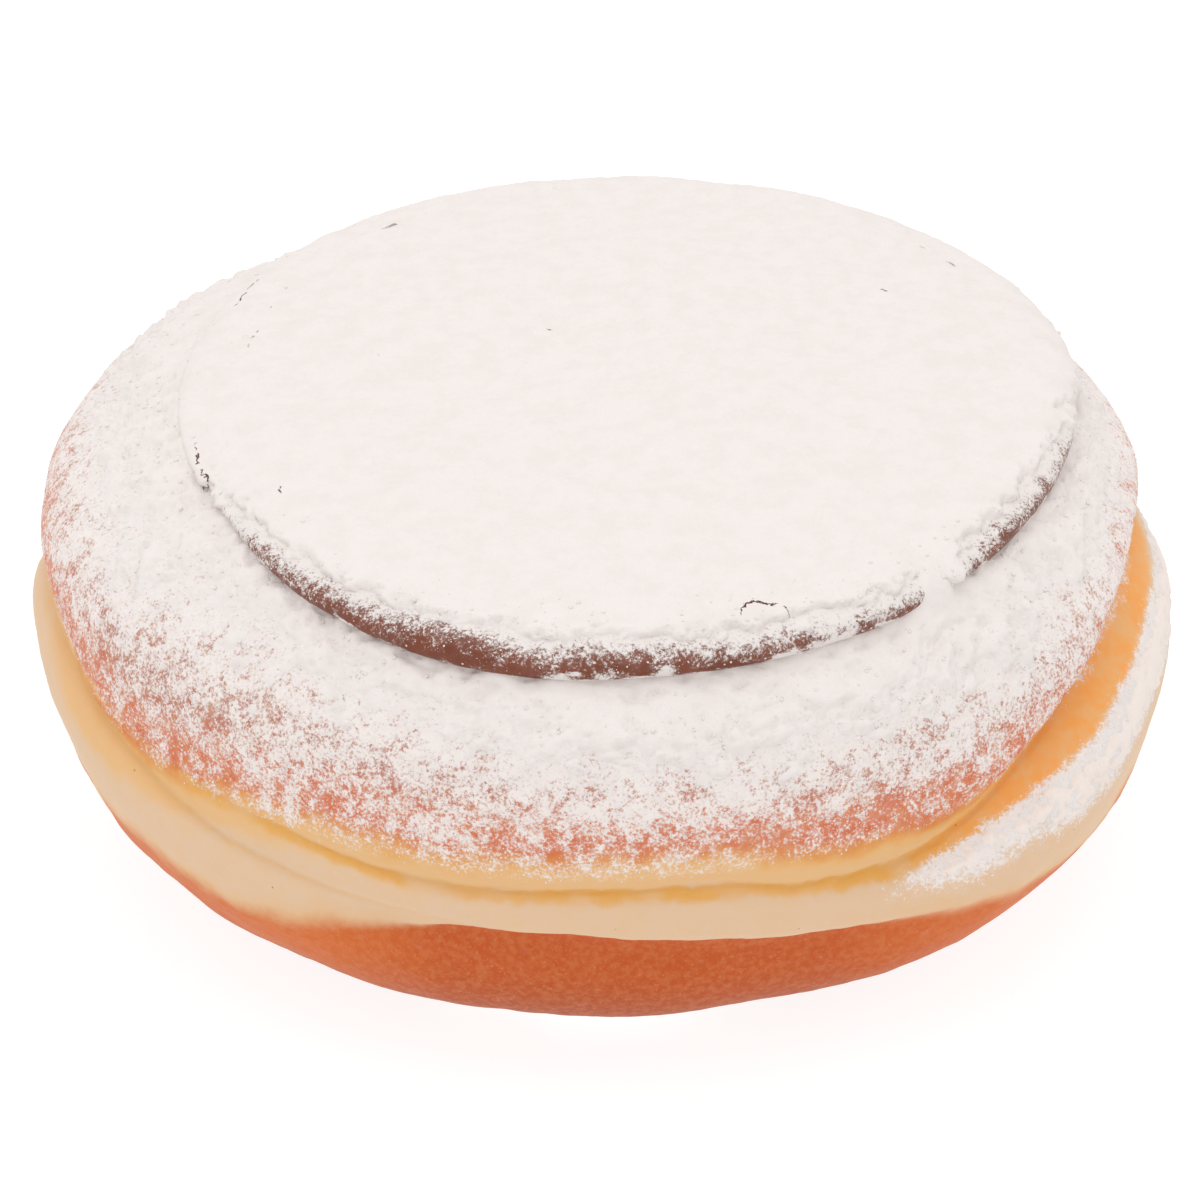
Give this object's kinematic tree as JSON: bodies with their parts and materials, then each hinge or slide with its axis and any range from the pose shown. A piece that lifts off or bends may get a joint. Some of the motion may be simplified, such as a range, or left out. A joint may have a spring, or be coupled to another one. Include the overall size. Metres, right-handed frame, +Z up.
{
  "type": "sugar-dusted doughnut with chocolate disc",
  "caption": "Round yeast doughnut without a hole: pale waist band, thick chocolate disc on the crown, and a coat of icing sugar over disc and shoulder.",
  "frame": {"origin": "centre of the base, on the surface that the doughnut rests on", "axes": "+Z up through the chocolate disc, -Y towards the front where the lip of the waist overhangs the base, +X to the right where the waist opens into a wide fold"},
  "size_m": [0.0952, 0.0898, 0.0424],
  "materials": {
    "fried_dough": "soft fried yeast dough, pale at the waist and golden brown above and below, dull",
    "chocolate_icing": "set milk chocolate icing with a soft sheen",
    "icing_sugar": "fine white powder, crusted and dull"
  },
  "bodies": {
    "root": {"bun": "fried_dough", "chocolate_disc": "chocolate_icing", "sugar_on_disc": "icing_sugar", "sugar_on_bun": "icing_sugar", "sugar_on_ledge": "icing_sugar"}
  },
  "joints": []
}
